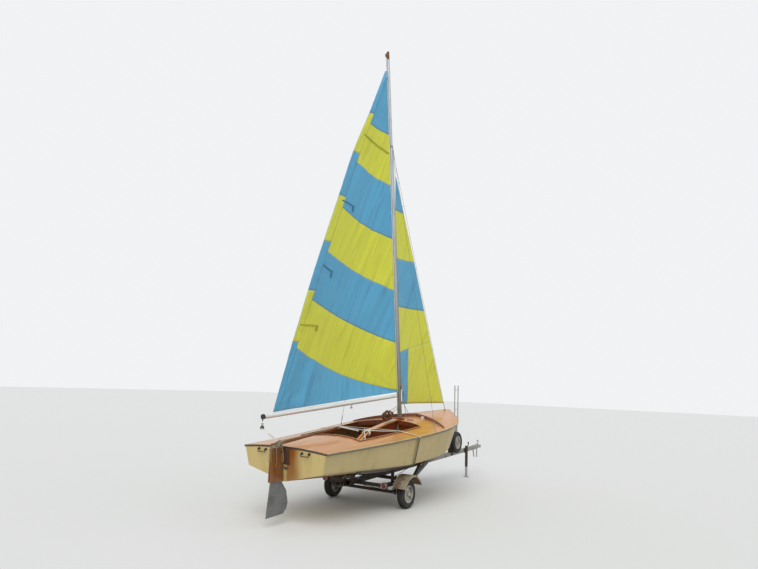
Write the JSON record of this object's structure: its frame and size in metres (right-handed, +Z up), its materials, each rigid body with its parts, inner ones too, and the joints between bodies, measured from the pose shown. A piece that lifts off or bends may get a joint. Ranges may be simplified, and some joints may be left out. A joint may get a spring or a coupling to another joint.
{
  "type": "sailing dinghy on a road trailer",
  "caption": "Plywood sailing dinghy with striped mainsail and jib set, kick-up rudder and varnished deck, standing on a single-axle road trailer with its jack down.",
  "frame": {"origin": "on the ground, below the centre of the whole object's length and breadth", "axes": "+X towards the bow and the trailer's coupler, +Y to port, +Z up"},
  "size_m": [7.182, 2.0356, 8.1391],
  "materials": {
    "hull_paint": "gloss paint, cream-yellow",
    "deck_varnish": "varnished plywood",
    "mahogany": "varnished mahogany",
    "light_wood": "weathered pine",
    "rail_paint": "satin paint, cream",
    "rudder_wood": "varnished",
    "spar_alloy": "anodised",
    "spar_end": "satin black",
    "masthead_wood": "varnished",
    "steel_fitting": "satin",
    "wire": "stranded wire",
    "sail_blue": "matt sailcloth",
    "sail_yellow": "matt sailcloth",
    "blade_alloy": "dull, weathered",
    "trailer_paint": "dark paint, worn and rusty",
    "galvanized": "galvanized, dull",
    "guard_metal": "bare, weathered, rust-stained",
    "tyre": "dusty black",
    "rim_paint": "pale grey, chipped",
    "bunk_carpet": "carpet",
    "roller_rubber": "matt",
    "lamp_red": "lens",
    "strap_web": "webbing",
    "board_paint": "painted"
  },
  "bodies": {
    "boat_and_trailer": {"keel": "mahogany", "topside_panels": "hull_paint", "bottom_panels": "hull_paint", "deck": "deck_varnish", "coaming": "mahogany", "transom": "hull_paint", "bulkheads": "deck_varnish", "cockpit_floor": "light_wood", "centreboard_trunk": "mahogany", "trunk_cap": "deck_varnish", "centreboard": "board_paint", "rub_rails": "rail_paint", "splash_rail": "mahogany", "chainplates": "steel_fitting", "lift_handles": "steel_fitting", "gudgeons": "steel_fitting", "transom_pad": "mahogany", "mast": "spar_alloy", "masthead": "masthead_wood", "mast_step": "mahogany", "mast_post": "spar_alloy", "shroud_port": "wire", "shroud_starboard": "wire", "forestay": "wire", "turnbuckles": "steel_fitting", "mast_fittings": "steel_fitting", "jib_blue": "sail_blue", "jib_yellow": "sail_yellow", "tongue": "trailer_paint", "trailer_frame": "trailer_paint", "axle": "trailer_paint", "leaf_springs": "trailer_paint", "bunks": "bunk_carpet", "keel_rollers": "roller_rubber", "hull_supports": "trailer_paint", "mast_carrier": "galvanized", "bow_stop": "roller_rubber", "coupler": "galvanized", "jack_tube": "trailer_paint", "jack_leg": "galvanized", "spare_bracket": "trailer_paint", "spare_tyre": "tyre", "spare_rim": "rim_paint", "tail_lamps": "lamp_red", "mudguard_left": "guard_metal", "mudguard_right": "guard_metal", "tie_down": "strap_web"},
    "boom": {"boom": "spar_alloy", "boom_cap": "spar_end", "gooseneck": "steel_fitting", "mainsail_blue": "sail_blue", "mainsail_yellow": "sail_yellow"},
    "rudder": {"rudder_head": "rudder_wood", "tiller": "rudder_wood", "rudder_fittings": "steel_fitting"},
    "blade": {"rudder_blade": "blade_alloy"},
    "wheel_left": {"tyre_left": "tyre", "rim_left": "rim_paint"},
    "wheel_right": {"tyre_right": "tyre", "rim_right": "rim_paint"}
  },
  "joints": [
    {"name": "boom_swing", "type": "hinge", "parent": "boat_and_trailer", "child": "boom", "pos_m": [-0.31486, 0, 1.72145], "axis": [-0.1295, 0, 0.9916], "range_deg": [-50, 60]},
    {"name": "rudder_turn", "type": "hinge", "parent": "boat_and_trailer", "child": "rudder", "pos_m": [-3.34861, 0, 0.97014], "axis": [-0.1331, 0, 0.9911], "range_deg": [-40, 40]},
    {"name": "blade_kick_up", "type": "hinge", "parent": "rudder", "child": "blade", "pos_m": [-3.431, 0, 0.672], "axis": [0, 1, 0], "range_deg": [0, 80]},
    {"name": "wheel_left_spin", "type": "hinge", "parent": "boat_and_trailer", "child": "wheel_left", "pos_m": [-1.159, 0.7125, 0.216], "axis": [0, 1, 0], "continuous": true},
    {"name": "wheel_right_spin", "type": "hinge", "parent": "boat_and_trailer", "child": "wheel_right", "pos_m": [-1.159, -0.7125, 0.216], "axis": [0, 1, 0], "continuous": true}
  ]
}
